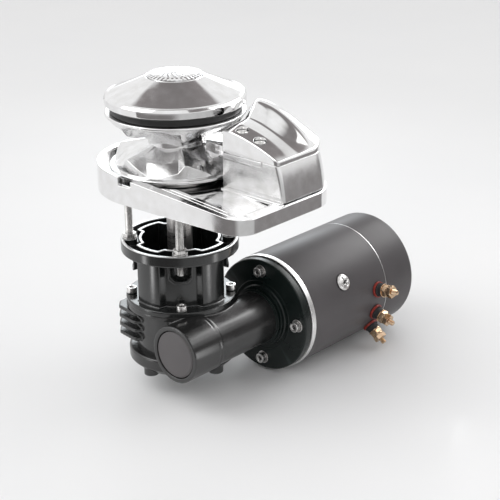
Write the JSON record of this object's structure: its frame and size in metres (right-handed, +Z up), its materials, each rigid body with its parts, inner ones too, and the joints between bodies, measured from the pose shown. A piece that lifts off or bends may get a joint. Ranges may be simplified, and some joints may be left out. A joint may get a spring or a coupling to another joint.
{
  "type": "anchor windlass",
  "caption": "Vertical electric anchor windlass: chromed chainwheel, clutch cap and chain pipe housing above deck; black worm gearbox and side motor on a spacer below.",
  "frame": {"origin": "on the main shaft's axis, in the plane of the deck, which is the underside of the base plate", "axes": "+Z up along the main shaft, +X from the chainwheel to the chain pipe housing, +Y along the motor to its rear"},
  "size_m": [0.23, 0.3244, 0.3253],
  "materials": {
    "polished_chrome": "mirror polished stainless castings",
    "stainless_steel": "bright stainless fasteners",
    "machined_steel": "turned steel",
    "black_enamel": "gloss black enamel on castings",
    "satin_charcoal_paint": "satin charcoal paint on the motor",
    "dark_clutch_ring": "matt black",
    "turned_aluminium": "turned, satin",
    "wheel_bronze": "machined bronze",
    "terminal_brass": "brass with copper tint",
    "red_insulator": "moulded red-brown insulator",
    "seal_rubber": "matt",
    "core_iron": "laminated iron",
    "commutator_copper": "turned copper"
  },
  "bodies": {
    "chassis": {"base_plate": "polished_chrome", "chain_pipe_housing": "polished_chrome", "housing_cover": "polished_chrome", "cover_screw_1": "stainless_steel", "cover_screw_2": "stainless_steel", "chain_stripper": "stainless_steel", "lever_pin": "stainless_steel", "deck_seal": "seal_rubber", "spacer_housing": "black_enamel", "gearbox_case": "black_enamel", "gearbox_bottom_cover": "black_enamel", "worm_end_cap": "black_enamel", "upper_shaft_bearing": "machined_steel", "lower_shaft_bearing": "machined_steel", "worm_front_bearing": "machined_steel", "worm_rear_bearing": "machined_steel", "motor_flange": "black_enamel", "motor_front_ring": "turned_aluminium", "motor_case": "satin_charcoal_paint", "motor_end_cap": "satin_charcoal_paint", "field_pole_1": "core_iron", "field_pole_2": "core_iron", "pole_screw_1": "stainless_steel", "pole_screw_2": "stainless_steel", "deck_stud_1": "stainless_steel", "stud_nut_1": "stainless_steel", "spacer_screw_1": "stainless_steel", "flange_screw_1": "stainless_steel", "deck_stud_2": "stainless_steel", "stud_nut_2": "stainless_steel", "spacer_screw_2": "stainless_steel", "flange_screw_2": "stainless_steel", "deck_stud_3": "stainless_steel", "stud_nut_3": "stainless_steel", "spacer_screw_3": "stainless_steel", "flange_screw_3": "stainless_steel", "deck_stud_4": "stainless_steel", "stud_nut_4": "stainless_steel", "spacer_screw_4": "stainless_steel", "flange_screw_4": "stainless_steel", "terminal_stud_1": "terminal_brass", "terminal_insulator_1": "red_insulator", "terminal_stud_2": "terminal_brass", "terminal_insulator_2": "red_insulator", "terminal_stud_3": "terminal_brass", "terminal_insulator_3": "red_insulator"},
    "drive_shaft": {"main_shaft": "machined_steel", "cone_key": "machined_steel", "wheel_key": "machined_steel", "worm_wheel": "wheel_bronze", "lower_clutch_cone": "machined_steel"},
    "worm_and_armature": {"worm_shaft": "machined_steel", "armature": "core_iron", "commutator": "commutator_copper"},
    "chainwheel": {"gypsy": "polished_chrome"},
    "upper_cone": {"upper_clutch_cone": "dark_clutch_ring"},
    "cap": {"clutch_cap": "polished_chrome", "cap_drive_boss": "polished_chrome"},
    "chain_lever": {"pressure_lever": "stainless_steel", "lever_spring": "stainless_steel"}
  },
  "joints": [
    {"name": "worm_spin", "type": "hinge", "parent": "chassis", "child": "worm_and_armature", "pos_m": [0.05, 0, -0.149], "axis": [0, 1, 0], "continuous": true},
    {"name": "main_shaft_spin", "type": "hinge", "parent": "chassis", "child": "drive_shaft", "pos_m": [0, 0, -0.149], "axis": [0, 0, 1], "continuous": true},
    {"name": "gypsy_spin", "type": "hinge", "parent": "drive_shaft", "child": "chainwheel", "pos_m": [0, 0, 0.05], "axis": [0, 0, 1], "continuous": true},
    {"name": "cone_lift", "type": "slide", "parent": "drive_shaft", "child": "upper_cone", "axis": [0, 0, 1], "range_m": [0, 0.00201]},
    {"name": "cap_turn", "type": "hinge", "parent": "upper_cone", "child": "cap", "pos_m": [0, 0, 0.09], "axis": [0, 0, 1], "range_deg": [0, 360]},
    {"name": "lever_swing", "type": "hinge", "parent": "chassis", "child": "chain_lever", "pos_m": [0.08, 0.049, 0.0525], "axis": [0, 0, -1], "range_deg": [0, 14], "stiffness_Nm_per_rad": 0.5, "springref_deg": -20.05}
  ],
  "couplings": [
    {"joint": "main_shaft_spin", "follows": "worm_spin", "ratio": -0.033333},
    {"joint": "cone_lift", "follows": "cap_turn", "m_per_rad": 0.00031831}
  ]
}
